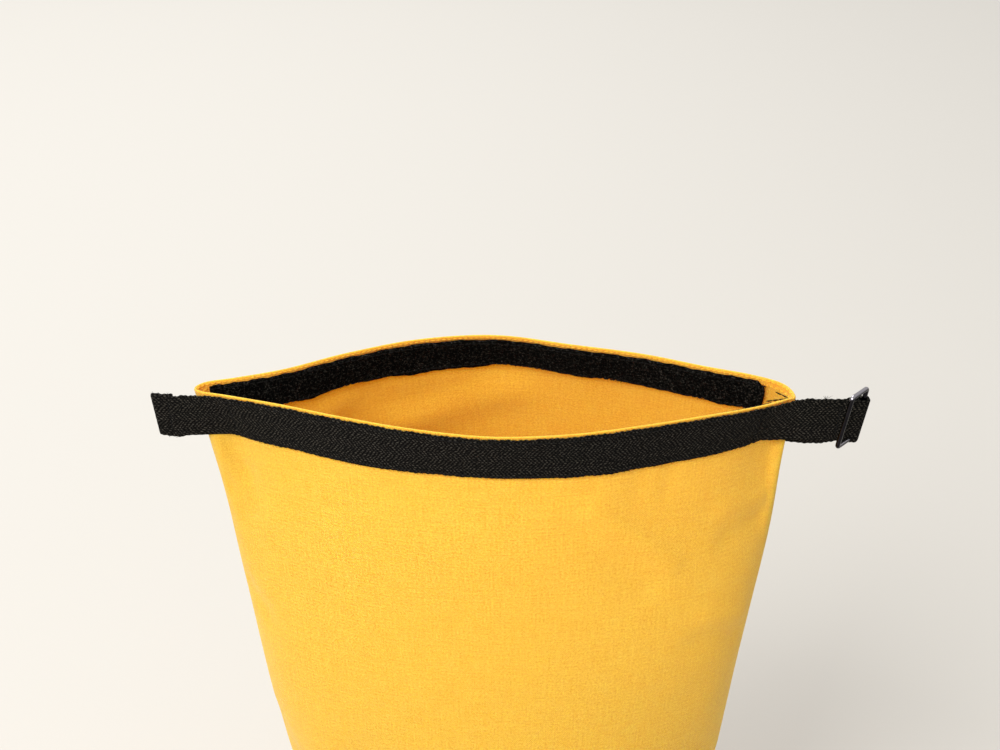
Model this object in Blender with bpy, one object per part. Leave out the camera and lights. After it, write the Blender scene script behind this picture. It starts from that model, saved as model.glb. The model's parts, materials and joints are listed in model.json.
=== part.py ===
"""Roll-top dry bag standing open: a cloth tube on a round base, with webbing along the front of its mouth.

The webbing runs past both corners of the mouth: the left end is a plain hemmed tab, and the right end is a
loop that holds a rectangular metal ring. Inside the mouth lie a hook strip and a loop strip that close it.

Frame: origin at the centre of the base's underside, +X to the ring's side, -Y to the webbing's side, +Z up.
An angle round the bag is 0 at the right corner, 90 at the middle of the rear, 180 at the left corner and
270 at the middle of the front. A drop is a distance straight down from the rim.
"""

import math

import bpy
from mathutils import Matrix, Vector

# Driving dimensions, in metres and degrees.
BAG_HEIGHT = 0.450
MOUTH_HALF_WIDTH = 0.160
MOUTH_FRONT_DEPTH = 0.0494
MOUTH_REAR_DEPTH = 0.0530
BASE_RADIUS = 0.1089
FRONT_RIM_RISE = 0.002
REAR_RIM_RISE = 0.005
BODY_SWAY = 0.005
CLOTH = 0.0008
BASE_CLOTH = 0.0010
GAP = 0.0003
HEM_PLY = 0.0006
HEM_HEIGHT = 0.0205
WEBBING_WIDTH = 0.025
WEBBING_THICKNESS = 0.0016
WEBBING_DROP = 0.0008
WEBBING_STITCH_EDGE = 0.002
STRIP_WIDTH = 0.020
STRIP_THICKNESS = 0.0020
STRIP_DROP = 0.0014
STRIP_STITCH_EDGE = 0.0015
TAPE_THICKNESS = 0.0003
TAPE_WIDTH = 0.015
THREAD = 0.0007
CORNER_STITCH_INSET = 3.5
CORNER_STITCH_END = 0.004
FOLD_LINE_X = 0.165
LEFT_FOLD_SLOPE = 0.21
RIGHT_FOLD_SLOPE = 0.27
SEWN_END_BULGE = 0.0009
LEFT_TAB_LENGTH = 0.017
LEFT_TAB_BACK = 8.0
LEFT_TAB_SLANT = 8.0
LEFT_HEM_LENGTH = 0.009
RIGHT_TAB_LENGTH = 0.0286
RIGHT_TAB_BACK = 4.0
RIGHT_TAB_RISE = 0.0020
RIGHT_TAB_CLIMB = 0.0022
RIGHT_TAB_OPENING = 0.011
TAB_FLAT = 0.004
TAB_STITCH_END = 0.003
TAB_STITCH_INSET = 0.002
RING_TILT = 10.0
RING_LEAN = 3.0
RING_RISE = 0.0013
RING_WIRE = 0.0026
RING_INNER_LENGTH = 0.029
RING_INNER_WIDTH = 0.0127
RING_CORNER = 0.0017
RING_STAND_OFF = 48.5
RING_SIDES = 12

# How far the sewn webbing stops short of a tab's fold line, so that the tab can turn on it.
LEFT_CLEARANCE = WEBBING_THICKNESS / 2 + GAP
RIGHT_CLEARANCE = WEBBING_THICKNESS + 2 * GAP

# Angles at which the webbing leaves the curve of the front, on its way past the corners.
LEFT_LEAVING = 202.5
RIGHT_LEAVING = 337.5

# Angles at which the webbing's return end stops, and between which the loop strip runs.
RIGHT_RETURN = 22.5
LOOP_STRIP_START = 22.5
LOOP_STRIP_END = 165.0

# Depth of the mouth every 15 degrees from the right corner to the left one, as a share of its greatest depth.
REAR_MOUTH = (0, 0.21, 0.36, 0.50, 0.70, 0.85, 1.0, 0.915, 0.66, 0.36, 0.20, 0.115, 0)
FRONT_MOUTH = (0, 0.095, 0.27, 0.465, 0.70, 0.92, 1.0, 0.85, 0.60, 0.35, 0.19, 0.095, 0)
MOUTH_STEP = 15.0

# How the tube changes on its way down: drop, half width, front depth, rear depth.
STATIONS = (
    (0.000, MOUTH_HALF_WIDTH, MOUTH_FRONT_DEPTH, MOUTH_REAR_DEPTH),
    (0.027, 0.1553, 0.0458, 0.0665),
    (0.070, 0.1490, 0.0560, 0.0720),
    (0.140, 0.1385, 0.0710, 0.0780),
    (0.250, 0.1210, 0.0920, 0.0940),
    (0.350, 0.1110, 0.1050, 0.1050),
    (BAG_HEIGHT, BASE_RADIUS, BASE_RADIUS, BASE_RADIUS),
)
OVAL_DROP = 0.160

# The mesh of the wall. Everything sewn to it uses the same angles and drops, so that its facets follow.
ANGLE_STEP = 7.5
PANEL_BOTTOM_DROP = BAG_HEIGHT - BASE_CLOTH - GAP
PANEL_DROPS = (
    0.0, WEBBING_DROP, STRIP_DROP, 0.012, HEM_HEIGHT, STRIP_DROP + STRIP_WIDTH, WEBBING_DROP + WEBBING_WIDTH,
    0.034, 0.047, 0.070, 0.100, 0.140, 0.190, 0.250, 0.310, 0.370, 0.410,
    PANEL_BOTTOM_DROP - TAPE_WIDTH, PANEL_BOTTOM_DROP,
)

CLOTH_COLOUR = (0.93, 0.50, 0.045)
WEBBING_COLOUR = (0.020, 0.019, 0.018)
STRIP_COLOUR = (0.006, 0.006, 0.006)
THREAD_COLOUR = (0.010, 0.010, 0.010)
TAPE_COLOUR = (0.80, 0.52, 0.16)
RING_COLOUR = (0.10, 0.10, 0.11)


def clear_scene():
    for thing in list(bpy.data.objects):
        bpy.data.objects.remove(thing)


def make_material(name, colour, roughness, metallic=0.0):
    material = bpy.data.materials.new(name)
    material.use_nodes = True
    shader = material.node_tree.nodes["Principled BSDF"]
    shader.inputs["Base Color"].default_value = (*colour, 1.0)
    shader.inputs["Roughness"].default_value = roughness
    shader.inputs["Metallic"].default_value = metallic
    return material


def smoothstep(share):
    share = min(max(share, 0.0), 1.0)
    return share * share * (3 - 2 * share)


def smooth_curve(places, values, place):
    """Value at a place on the smooth curve through the values, whose slopes come from their neighbours."""
    last = len(places) - 1
    place = min(max(place, places[0]), places[last])
    i = max(k for k in range(last) if places[k] <= place)

    def slope(k):
        low, high = max(k - 1, 0), min(k + 1, last)
        return (values[high] - values[low]) / (places[high] - places[low])

    span = places[i + 1] - places[i]
    t = (place - places[i]) / span
    start, end = slope(i) * span, slope(i + 1) * span
    rise = values[i + 1] - values[i]
    return values[i] + t * (start + t * (3 * rise - 2 * start - end + t * (start + end - 2 * rise)))


def mouth_depth(angle):
    """Signed depth of the mouth at an angle: 1 at the rear's middle, -1 at the front's."""
    ring = list(REAR_MOUTH) + [-share for share in reversed(FRONT_MOUTH)][1:]
    wrapped = [ring[-2]] + ring + [ring[1]]
    angles = [MOUTH_STEP * (k - 1) for k in range(len(wrapped))]
    return smooth_curve(angles, wrapped, angle % 360)


def station(column, drop):
    return smooth_curve([s[0] for s in STATIONS], [s[column] for s in STATIONS], drop)


def wall(angle, drop):
    """Point of the bag's outer surface."""
    turn = math.radians(angle)
    oval = smoothstep(drop / OVAL_DROP)
    share = (1 - oval) * mouth_depth(angle) + oval * math.sin(turn)
    depth = station(3, drop) if share > 0 else station(2, drop)
    rise = (REAR_RIM_RISE if share > 0 else FRONT_RIM_RISE) * abs(share) * (1 - drop / BAG_HEIGHT) ** 4
    sway = BODY_SWAY * math.sin(math.pi * drop / BAG_HEIGHT)
    return Vector((sway + station(1, drop) * math.cos(turn), depth * share, BAG_HEIGHT - drop + rise))


def wall_offset(angle, drop, distance):
    """Point that stands that far out from the bag's outer surface."""
    turn, fall = 0.5, 0.001
    along = wall(angle + turn, drop) - wall(angle - turn, drop)
    up = wall(angle, max(drop - fall, 0)) - wall(angle, drop + fall)
    return wall(angle, drop) + along.cross(up).normalized() * distance


def add_object(name, verts, faces, material, origin=Vector((0, 0, 0))):
    mesh = bpy.data.meshes.new(name)
    mesh.from_pydata([Vector(v) - origin for v in verts], [], faces)
    mesh.materials.append(material)
    mesh.shade_smooth()
    mesh.set_sharp_from_angle(angle=math.radians(40))
    thing = bpy.data.objects.new(name, mesh)
    thing.location = origin
    bpy.context.scene.collection.objects.link(thing)
    return thing


def shell(name, outer, inner, material, closed=False, origin=Vector((0, 0, 0))):
    """Closed sheet between two grids of points: columns left to right seen from outside, rows top down."""
    columns, rows = len(outer), len(outer[0])
    verts = [p for column in outer for p in column] + [p for column in inner for p in column]
    back = columns * rows

    def at(i, j):
        return (i % columns) * rows + j

    faces = []
    for i in range(columns if closed else columns - 1):
        for j in range(rows - 1):
            front_face = (at(i, j), at(i, j + 1), at(i + 1, j + 1), at(i + 1, j))
            faces.append(front_face)
            faces.append(tuple(back + k for k in reversed(front_face)))
        faces.append((at(i, 0), at(i + 1, 0), back + at(i + 1, 0), back + at(i, 0)))
        low = rows - 1
        faces.append((at(i + 1, low), at(i, low), back + at(i, low), back + at(i + 1, low)))
    if not closed:
        end = columns - 1
        for j in range(rows - 1):
            faces.append((at(0, j + 1), at(0, j), back + at(0, j), back + at(0, j + 1)))
            faces.append((at(end, j), at(end, j + 1), back + at(end, j + 1), back + at(end, j)))
    return add_object(name, verts, faces, material, origin)


def angles_between(start, end):
    steps = round((end - start) / ANGLE_STEP)
    return [start + ANGLE_STEP * k for k in range(steps + 1)]


def drops_between(top, bottom):
    inside = [drop for drop in PANEL_DROPS if top < drop < bottom]
    return [top] + inside + [bottom]


def wall_columns(angles, drops, distance):
    return [[wall_offset(angle, drop, distance) for drop in drops] for angle in angles]


def wall_layer(name, angles, drops, outside, thickness, material, closed=False):
    """Sheet that follows the wall, its outer face at a distance from the bag's outer surface."""
    outer = wall_columns(angles, drops, outside)
    inner = wall_columns(angles, drops, outside - thickness)
    return shell(name, outer, inner, material, closed)


def stitch_row(name, angles, drop, face, material):
    """Line of thread lying on a face that looks outward or inward, at a distance from the outer surface."""
    outside = face + GAP + THREAD / 2 if face > 0 else face - GAP
    return wall_layer(name, angles, [drop - THREAD / 2, drop + THREAD / 2], outside, THREAD / 2, material)


def seam_gap(angles):
    """The same angles, drawn in at both ends by half the gap that parts the two panels at their seams."""
    inset = math.degrees(GAP / BASE_RADIUS)
    return [angles[0] + inset, *angles[1:-1], angles[-1] - inset]


def plan_ribbon(name, path, drops, slants, climbs, thickness, material, origin):
    """Strap on edge that follows a path in plan. A slant is how far a point moves along X and Y per height,
    and a climb is how far it moves up."""
    outer, inner = [], []
    middle = WEBBING_DROP + WEBBING_WIDTH / 2
    for k, point in enumerate(path):
        before, after = path[max(k - 1, 0)], path[min(k + 1, len(path) - 1)]
        heading = Vector((after[0] - before[0], after[1] - before[1], 0)).normalized()
        side = Vector((heading.y, -heading.x, 0)) * thickness / 2
        column = []
        for drop in drops:
            height = middle - drop
            x, y = (point[axis] + slants[k][axis] * height for axis in (0, 1))
            column.append(Vector((x, y, origin.z + height + climbs[k])))
        outer.append([p + side for p in column])
        inner.append([p - side for p in column])
    return shell(name, outer, inner, material, origin=origin)


def tab_point(side, along, across):
    """Plan point of a tab: along it from its fold line, and across it to the rear."""
    back = math.radians(LEFT_TAB_BACK if side < 0 else RIGHT_TAB_BACK)
    start = fold_line(side)
    x = side * (along * math.cos(back) - across * math.sin(back))
    y = along * math.sin(back) + across * math.cos(back)
    return (start[0] + x, start[1] + y)


def leaving_angle(side):
    return LEFT_LEAVING if side < 0 else RIGHT_LEAVING


def fold_line(side):
    """Plan point of the upright line about which a tab bends, just past its corner of the mouth."""
    start = wall_offset(leaving_angle(side), WEBBING_DROP, GAP + WEBBING_THICKNESS / 2)
    slope = LEFT_FOLD_SLOPE if side < 0 else RIGHT_FOLD_SLOPE
    return (side * FOLD_LINE_X, start.y + slope * (FOLD_LINE_X - abs(start.x)))


def tab_origin(side):
    """Middle of a tab's fold line."""
    rise = RIGHT_TAB_RISE if side > 0 else 0
    return Vector((*fold_line(side), BAG_HEIGHT - WEBBING_DROP - WEBBING_WIDTH / 2 + rise))


def ring_turn():
    """How the ring's bar, and the fold of webbing round it, stand off the upright."""
    return Matrix.Rotation(math.radians(RING_LEAN), 4, "X") @ Matrix.Rotation(math.radians(RING_TILT), 4, "Y")


def webbing_drops():
    return drops_between(WEBBING_DROP, WEBBING_DROP + WEBBING_WIDTH)


def sewn_end(side, clearance, distance):
    """Columns of the sewn webbing between the curve of the front and a tab's fold line."""
    back = math.radians(LEFT_TAB_BACK if side < 0 else RIGHT_TAB_BACK)
    normal = Vector((side * math.sin(back), -math.cos(back), 0))
    columns = []
    for share in (0.5, 1.0):
        column = []
        for drop in webbing_drops():
            start = wall_offset(leaving_angle(side), drop, GAP + WEBBING_THICKNESS / 2)
            end_x, end_y = tab_point(side, -clearance, 0)
            rise = RIGHT_TAB_RISE if side > 0 else 0
            end = Vector((end_x, end_y, BAG_HEIGHT - drop + rise))
            middle = start.lerp(end, share)
            bulge = SEWN_END_BULGE * math.sin(math.pi * share)
            column.append(middle + normal * (distance - GAP - WEBBING_THICKNESS / 2 + bulge))
        columns.append(column)
    return columns


def build_panels(cloth):
    wall_layer("front_panel", seam_gap(angles_between(180, 360)), PANEL_DROPS, 0, CLOTH, cloth)
    wall_layer("rear_panel", seam_gap(angles_between(0, 180)), PANEL_DROPS, 0, CLOTH, cloth)


def build_base(cloth, tape):
    angles = angles_between(0, 360 - ANGLE_STEP)
    rim = [(BASE_RADIUS * math.cos(math.radians(a)), BASE_RADIUS * math.sin(math.radians(a))) for a in angles]
    verts = [(x, y, z) for z in (0, BASE_CLOTH) for x, y in rim]
    count = len(rim)
    faces = [tuple(reversed(range(count))), tuple(range(count, 2 * count))]
    faces += [(k, (k + 1) % count, count + (k + 1) % count, count + k) for k in range(count)]
    add_object("base_disc", verts, faces, cloth)
    drops = [PANEL_BOTTOM_DROP - TAPE_WIDTH, PANEL_BOTTOM_DROP]
    wall_layer("base_seam_tape", angles, drops, -CLOTH - GAP, TAPE_THICKNESS, tape, closed=True)


def build_seam_tapes(tape):
    top, bottom = HEM_HEIGHT + 2 * GAP, PANEL_BOTTOM_DROP - TAPE_WIDTH - 2 * GAP
    for name, middle in (("right_seam_tape", 0), ("left_seam_tape", 180)):
        angles = angles_between(middle - ANGLE_STEP, middle + ANGLE_STEP)
        wall_layer(name, angles, drops_between(top, bottom), -CLOTH - GAP, TAPE_THICKNESS, tape)


def build_hems(cloth, thread):
    face = -CLOTH - GAP
    drops = drops_between(0, HEM_HEIGHT)
    wall_layer("front_hem", seam_gap(angles_between(180, 360)), drops, face, HEM_PLY, cloth)
    wall_layer("rear_hem", seam_gap(angles_between(0, 180)), drops, face, HEM_PLY, cloth)
    row_drop = STRIP_DROP / 2
    stitch_row("front_hem_stitch", angles_between(195, 345), row_drop, face - HEM_PLY, thread)
    stitch_row("rear_hem_stitch", angles_between(15, 165), row_drop, face - HEM_PLY, thread)


def build_closure(strip, thread):
    """Hook strip inside the front and loop strip inside the rear, each sewn along both edges."""
    face = -CLOTH - HEM_PLY - 2 * GAP
    drops = drops_between(STRIP_DROP, STRIP_DROP + STRIP_WIDTH)
    strips = (("hook_strip", LEFT_LEAVING, RIGHT_LEAVING), ("loop_strip", LOOP_STRIP_START, LOOP_STRIP_END))
    for name, start, end in strips:
        angles = angles_between(start, end)
        wall_layer(name, angles, drops, face, STRIP_THICKNESS, strip)
        for row, drop in (("top", drops[0] + STRIP_STITCH_EDGE), ("bottom", drops[-1] - STRIP_STITCH_EDGE)):
            stitch_row(f"{name}_{row}_stitch", angles, drop, face - STRIP_THICKNESS, thread)


def build_front_webbing(webbing, thread):
    drops = webbing_drops()
    angles = angles_between(leaving_angle(-1), leaving_angle(1))
    grids = []
    for distance in (GAP + WEBBING_THICKNESS, GAP):
        left = sewn_end(-1, LEFT_CLEARANCE, distance)
        right = sewn_end(1, RIGHT_CLEARANCE, distance)
        grids.append(left[::-1] + wall_columns(angles, drops, distance) + right)
    shell("front_webbing", grids[0], grids[1], webbing)
    rows = (("top", drops[0] + WEBBING_STITCH_EDGE), ("bottom", drops[-1] - WEBBING_STITCH_EDGE))
    for row, drop in rows:
        stitch_row(f"webbing_{row}_stitch", angles, drop, GAP + WEBBING_THICKNESS, thread)


def build_corner_stitches(thread):
    """Upright rows that hold the webbing to the corners."""
    edges = webbing_drops()
    drops = drops_between(edges[0] + CORNER_STITCH_END, edges[-1] - CORNER_STITCH_END)
    outside = GAP + WEBBING_THICKNESS + GAP + THREAD / 2
    for name, side in (("left_corner_stitch", -1), ("right_corner_stitch", 1)):
        angle = leaving_angle(side) - side * CORNER_STITCH_INSET
        along = (wall(angle + 0.5, edges[0]) - wall(angle - 0.5, edges[0])).length
        half = THREAD / 2 / along
        wall_layer(name, [angle - half, angle + half], drops, outside, THREAD / 2, thread)


def build_return_end(webbing):
    """The end of the webbing that comes back from the ring and is sewn to the rear of the right corner."""
    angles = angles_between(0, RIGHT_RETURN)
    outside = GAP + WEBBING_THICKNESS
    wall_layer("webbing_return_end", angles, webbing_drops(), outside, WEBBING_THICKNESS, webbing)


def build_left_tab(webbing, thread):
    """Single ply whose end is folded back behind it and sewn down."""
    ply = WEBBING_THICKNESS / 2 + GAP / 2
    end = LEFT_TAB_LENGTH - WEBBING_THICKNESS - GAP / 2
    plan = [(0.0, 0.0), (TAB_FLAT, 0.0), (end - LEFT_HEM_LENGTH, 0.0), (end, 0.0)]
    for turn in (45, 90, 135):
        bend = math.radians(turn)
        plan.append((end + ply * math.sin(bend), ply - ply * math.cos(bend)))
    plan += [(end, 2 * ply), (end - LEFT_HEM_LENGTH, 2 * ply)]
    plan.reverse()
    path = [tab_point(-1, along, across) for along, across in plan]
    lean = math.tan(math.radians(LEFT_TAB_SLANT))
    slants = [(-lean * min(along / end, 1), 0) for along, across in plan]
    origin = tab_origin(-1)
    level = [0] * len(path)
    plan_ribbon("left_tab", path, webbing_drops(), slants, level, WEBBING_THICKNESS, webbing, origin)
    row = end - LEFT_HEM_LENGTH + TAB_STITCH_INSET
    tab_stitch("left_tab_stitch", -1, row, -WEBBING_THICKNESS / 2, (-lean * row / end, 0), 0, thread, origin)


def build_right_tab(webbing, thread):
    """Loop of webbing: out along the front, round the ring's bar and back behind."""
    ply = WEBBING_THICKNESS / 2 + GAP / 2
    bend = RING_WIRE / 2 + GAP + WEBBING_THICKNESS / 2
    end = RIGHT_TAB_LENGTH
    row = end - RIGHT_TAB_OPENING
    plan = [(GAP, -ply), ((GAP + row) / 2, -ply), (row + THREAD, -ply)]
    plan.append((end - TAB_FLAT, -(ply + 3 * bend) / 4))
    back = [(along, -across) for along, across in reversed(plan)]
    for turn in range(-90, 91, 30):
        plan.append((end + bend * math.cos(math.radians(turn)), bend * math.sin(math.radians(turn))))
    plan += back
    path = [tab_point(1, along, across) for along, across in plan]
    bar = ring_turn() @ Vector((0, 0, 1))

    def share_at(along):
        return smoothstep((along - TAB_FLAT) / (end - TAB_FLAT))

    def slant_at(along):
        return (share_at(along) * bar.x / bar.z, share_at(along) * bar.y / bar.z)

    origin = tab_origin(1)
    slants = [slant_at(along) for along, across in plan]
    climbs = [share_at(along) * RIGHT_TAB_CLIMB for along, across in plan]
    plan_ribbon("right_tab", path, webbing_drops(), slants, climbs, WEBBING_THICKNESS, webbing, origin)
    face = -ply - WEBBING_THICKNESS / 2
    climb = share_at(row) * RIGHT_TAB_CLIMB
    tab_stitch("right_tab_stitch", 1, row, face, slant_at(row), climb, thread, origin)


def tab_stitch(name, side, along, face, slant, climb, thread, origin):
    """Upright row of thread on the front face of a tab."""
    drops = [WEBBING_DROP + TAB_STITCH_END, WEBBING_DROP + WEBBING_WIDTH - TAB_STITCH_END]
    steps = (-side * THREAD / 2, side * THREAD / 2)
    path = [tab_point(side, along + step, face - GAP - THREAD / 4) for step in steps]
    plan_ribbon(name, path, drops, [slant] * 2, [climb] * 2, THREAD / 2, thread, origin)


def build_ring(metal):
    """Rectangular wire ring. One long bar lies in the loop of the right tab, and is what it swings about."""
    half_length = (RING_INNER_LENGTH + RING_WIRE) / 2
    width = RING_INNER_WIDTH + RING_WIRE
    corner = RING_CORNER
    path = []
    for start, cx, cy in (
        (0, -corner, half_length - corner),
        (90, -width + corner, half_length - corner),
        (180, -width + corner, -half_length + corner),
        (270, -corner, -half_length + corner),
    ):
        for a in (0, 30, 60, 90):
            turn = math.radians(start + a)
            path.append(Vector((cx + corner * math.cos(turn), 0, cy + corner * math.sin(turn))))
    sides = RING_SIDES
    verts, faces = [], []
    for k, point in enumerate(path):
        heading = (path[(k + 1) % len(path)] - path[k - 1]).normalized()
        across = Vector((0, 1, 0))
        beside = heading.cross(across)
        for s in range(sides):
            turn = 2 * math.pi * s / sides
            verts.append(point + (across * math.cos(turn) + beside * math.sin(turn)) * RING_WIRE / 2)
    for k in range(len(path)):
        after = (k + 1) % len(path)
        for s in range(sides):
            t = (s + 1) % sides
            faces.append((k * sides + s, k * sides + t, after * sides + t, after * sides + s))
    ring = add_object("ring", verts, faces, metal)
    centre = Vector((*tab_point(1, RIGHT_TAB_LENGTH, 0), tab_origin(1).z + RIGHT_TAB_CLIMB))
    stand_off = Matrix.Rotation(math.radians(RIGHT_TAB_BACK + RING_STAND_OFF), 4, "Z")
    slide = Matrix.Translation((0, 0, RING_RISE))
    ring.matrix_world = Matrix.Translation(centre) @ ring_turn() @ slide @ stand_off


def main():
    clear_scene()
    cloth = make_material("bag_cloth", CLOTH_COLOUR, 0.8)
    webbing = make_material("webbing", WEBBING_COLOUR, 0.85)
    strip = make_material("closure_strip", STRIP_COLOUR, 0.95)
    thread = make_material("black_thread", THREAD_COLOUR, 0.7)
    cloth_thread = make_material("cloth_thread", CLOTH_COLOUR, 0.7)
    tape = make_material("seam_tape", TAPE_COLOUR, 0.5)
    metal = make_material("ring_metal", RING_COLOUR, 0.3, metallic=1.0)
    build_panels(cloth)
    build_base(cloth, tape)
    build_seam_tapes(tape)
    build_hems(cloth, cloth_thread)
    build_closure(strip, thread)
    build_front_webbing(webbing, thread)
    build_corner_stitches(thread)
    build_return_end(webbing)
    build_left_tab(webbing, thread)
    build_right_tab(webbing, thread)
    build_ring(metal)


main()
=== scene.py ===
"""The looks of a roll-top dry bag that stands open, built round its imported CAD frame.

An angle round the bag is 0 at the right corner of the mouth, 90 at the middle of the rear, 180 at the left
corner and 270 at the middle of the front. A drop is a distance straight down from the rim. What is sewn on is
made from angles, drops and a distance out from the bag's outer face, so that it follows the cloth.
"""

import json
import math

import bpy
import numpy as np
from mathutils import Matrix, Vector


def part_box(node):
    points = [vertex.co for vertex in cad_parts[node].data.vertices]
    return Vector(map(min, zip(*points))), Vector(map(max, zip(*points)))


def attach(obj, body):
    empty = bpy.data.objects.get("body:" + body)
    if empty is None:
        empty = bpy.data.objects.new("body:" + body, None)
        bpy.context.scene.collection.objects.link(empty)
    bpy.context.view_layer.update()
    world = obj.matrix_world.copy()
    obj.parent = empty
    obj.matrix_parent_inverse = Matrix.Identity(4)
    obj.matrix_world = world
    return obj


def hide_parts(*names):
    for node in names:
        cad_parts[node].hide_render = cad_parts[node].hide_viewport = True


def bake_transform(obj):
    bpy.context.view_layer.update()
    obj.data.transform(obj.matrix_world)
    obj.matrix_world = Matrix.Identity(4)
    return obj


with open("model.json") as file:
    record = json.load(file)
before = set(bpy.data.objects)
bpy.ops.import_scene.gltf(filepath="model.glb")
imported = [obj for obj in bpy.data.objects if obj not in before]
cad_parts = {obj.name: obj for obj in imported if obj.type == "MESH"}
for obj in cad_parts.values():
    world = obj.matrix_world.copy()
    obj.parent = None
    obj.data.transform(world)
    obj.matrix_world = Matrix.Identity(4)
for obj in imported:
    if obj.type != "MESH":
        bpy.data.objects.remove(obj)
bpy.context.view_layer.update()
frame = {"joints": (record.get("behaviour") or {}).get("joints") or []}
joints = {joint["name"]: joint for joint in frame["joints"]}

# Cloth, webbing and strips, in metres and degrees. Most thicknesses and drops are those of the CAD nodes they
# replace. The loop strip lies a little lower, has rounded ends and is cut at its right upper corner.
CLOTH = 0.0008
HEM_INSIDE = 0.0013
WEBBING_WIDTH = 0.025
WEBBING_THICKNESS = 0.0016
WEBBING_DROP = 0.0008
STRIP_WIDTH = 0.020
STRIP_DROP = 0.0014
LOOP_STRIP_DROP = 0.0019
STRIP_FACE = 0.0015
STRIP_BACK = 0.0034
STRIP_END_TURN = 1.6
STRIP_CUT_TURN = 4.5
STRIP_CUT_DROP = 0.0034
STRIP_SAG = 0.0018
STRIP_SAG_MIDDLE = 104
STRIP_SAG_REACH = 7
STRIP_STITCH_EDGE = 0.0015
PILE_LOOPS = 7000
HEM_ROW = 0.0012
HEM_CORNER_ROW = 0.0040
HOOK_STRIP_THINNER = 0.0006
TAPE_WIDTH = 0.015
TAPE_THICKNESS = 0.0003
THREAD = 0.0007
GAP = 0.0003
PLY = WEBBING_THICKNESS / 2 + GAP / 2

# The bag's shape. The rear rim stands a little higher than in the CAD.
LEFT_FOLD = Vector(joints["left_end_bend"]["pos_m"])
RIGHT_FOLD = Vector(joints["right_end_bend"]["pos_m"])
RING_CENTRE = Vector(joints["ring_swing"]["pos_m"])
BAG_HEIGHT = LEFT_FOLD.z + WEBBING_DROP + WEBBING_WIDTH / 2
HEM_HEIGHT = BAG_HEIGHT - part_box("front_hem")[0].z
MOUTH_HALF_WIDTH = (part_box("front_panel")[1].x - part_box("front_panel")[0].x) / 2
BASE_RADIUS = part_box("base_disc")[1].x
BASE_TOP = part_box("base_disc")[1].z
GIRTH = 2 * math.pi * BASE_RADIUS
FRONT_RIM_RISE = 0.002
REAR_RIM_RISE = 0.0056
BODY_SWAY = 0.005
OVAL_DROP = 0.160
BOTTOM_DROP = BAG_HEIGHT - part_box("front_panel")[0].z

# Depth of the mouth every 15 degrees from the right corner to the left one, as a share of its greatest depth.
REAR_MOUTH = (0, 0.21, 0.36, 0.50, 0.70, 0.85, 1.0, 0.915, 0.66, 0.36, 0.20, 0.115, 0)
FRONT_MOUTH = (0, 0.095, 0.27, 0.465, 0.70, 0.92, 1.0, 0.85, 0.60, 0.35, 0.19, 0.095, 0)
MOUTH_STEP = 15.0

# How the tube changes on its way down: drop, half width, front depth, rear depth.
STATIONS = (
    (0.000, MOUTH_HALF_WIDTH, 0.0494, 0.0530),
    (0.027, 0.1553, 0.0458, 0.0665),
    (0.070, 0.1490, 0.0560, 0.0720),
    (0.140, 0.1385, 0.0710, 0.0780),
    (0.250, 0.1210, 0.0920, 0.0940),
    (0.350, 0.1110, 0.1050, 0.1050),
    (BAG_HEIGHT, BASE_RADIUS, BASE_RADIUS, BASE_RADIUS),
)

# The ends of the webbing: lengths, how they turn to the rear, and where they leave the curve of the front.
LEFT_LEAVING = 202.5
RIGHT_LEAVING = 337.5
RETURN_ANGLE = 22.5
LEFT_TAB_LENGTH = 0.017
LEFT_TAB_BACK = 8.0
LEFT_TAB_SLANT = 8.0
LEFT_HEM_LENGTH = 0.009
RIGHT_TAB_LENGTH = 0.0286
RIGHT_TAB_BACK = 4.0
RIGHT_TAB_CLIMB = 0.0022
RIGHT_TAB_OPENING = 0.011
TAB_FLAT = 0.004
CORNER_ROW = 0.006
GROOVE_DEPTH = 0.0006
TUFT_PLACE = 0.0095
TUFT_FIBRES = 9
FIBRE = 0.00007
FIBRE_ARCH = 0.0002
FIBRE_PITCH = 0.0007

# How the soft ends differ from the CAD: how far the left tab, the ring's loop and the end behind it hang
# lower, and how far the loop's start lifts and its far end spreads.
LEFT_TAB_SAG = 0.0024
RIGHT_TAB_SAG = 0.0020
RIGHT_TAB_LIFT = 0.0008
RIGHT_TAB_SPREAD = 0.0016
RETURN_SAG = 0.0034

# The black thread inside the right corner: angles and drops of the corners of its path.
CORNER_THREAD = ((18.0, 0.0063), (12.5, 0.0062), (5.6, 0.0046), (12.5, 0.0087), (21.5, 0.0142))

# The ring of wire in the right end's loop.
RING_TILT = 10.0
RING_LEAN = 3.0
RING_WIRE = 0.0026
RING_INNER_LENGTH = 0.029
RING_INNER_WIDTH = 0.0127
RING_CORNER = 0.0017
RING_STAND_OFF = 48.5

# Colours as linear red, green and blue.
CLOTH_COLOUR = (0.92, 0.450, 0.042)
CLOTH_LIGHT = (0.99, 0.585, 0.075)
CLOTH_DARK = (0.78, 0.320, 0.022)
WEBBING_COLOUR = (0.0020, 0.0019, 0.0017)
# Lighter colour of the webbing's grains and specks: partly the weave's own pattern, partly a painted
# highlight.
WEBBING_GRAIN_HIGHLIGHT = (0.078, 0.070, 0.057)
PILE_COLOUR = (0.0012, 0.0012, 0.0011)
# Painted highlight for light caught on the pile's clumps.
PILE_PAINTED_HIGHLIGHT = (0.085, 0.082, 0.072)
THREAD_COLOUR = (0.0028, 0.0027, 0.0026)
SEAM_THREAD_COLOUR = (0.90, 0.420, 0.036)
TAPE_COLOUR = (0.80, 0.47, 0.12)
RING_COLOUR = (0.012, 0.011, 0.013)
# Painted reflection of the bright sky, put on the ring's upward faces.
RING_PAINTED_SKY_REFLECTION = (0.42, 0.40, 0.44)
FLOOR_COLOUR = (0.565, 0.550, 0.522)


# ---------------------------------------------------------------- shape of the cloth


def smoothstep(share):
    share = np.clip(share, 0.0, 1.0)
    return share * share * (3 - 2 * share)


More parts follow.
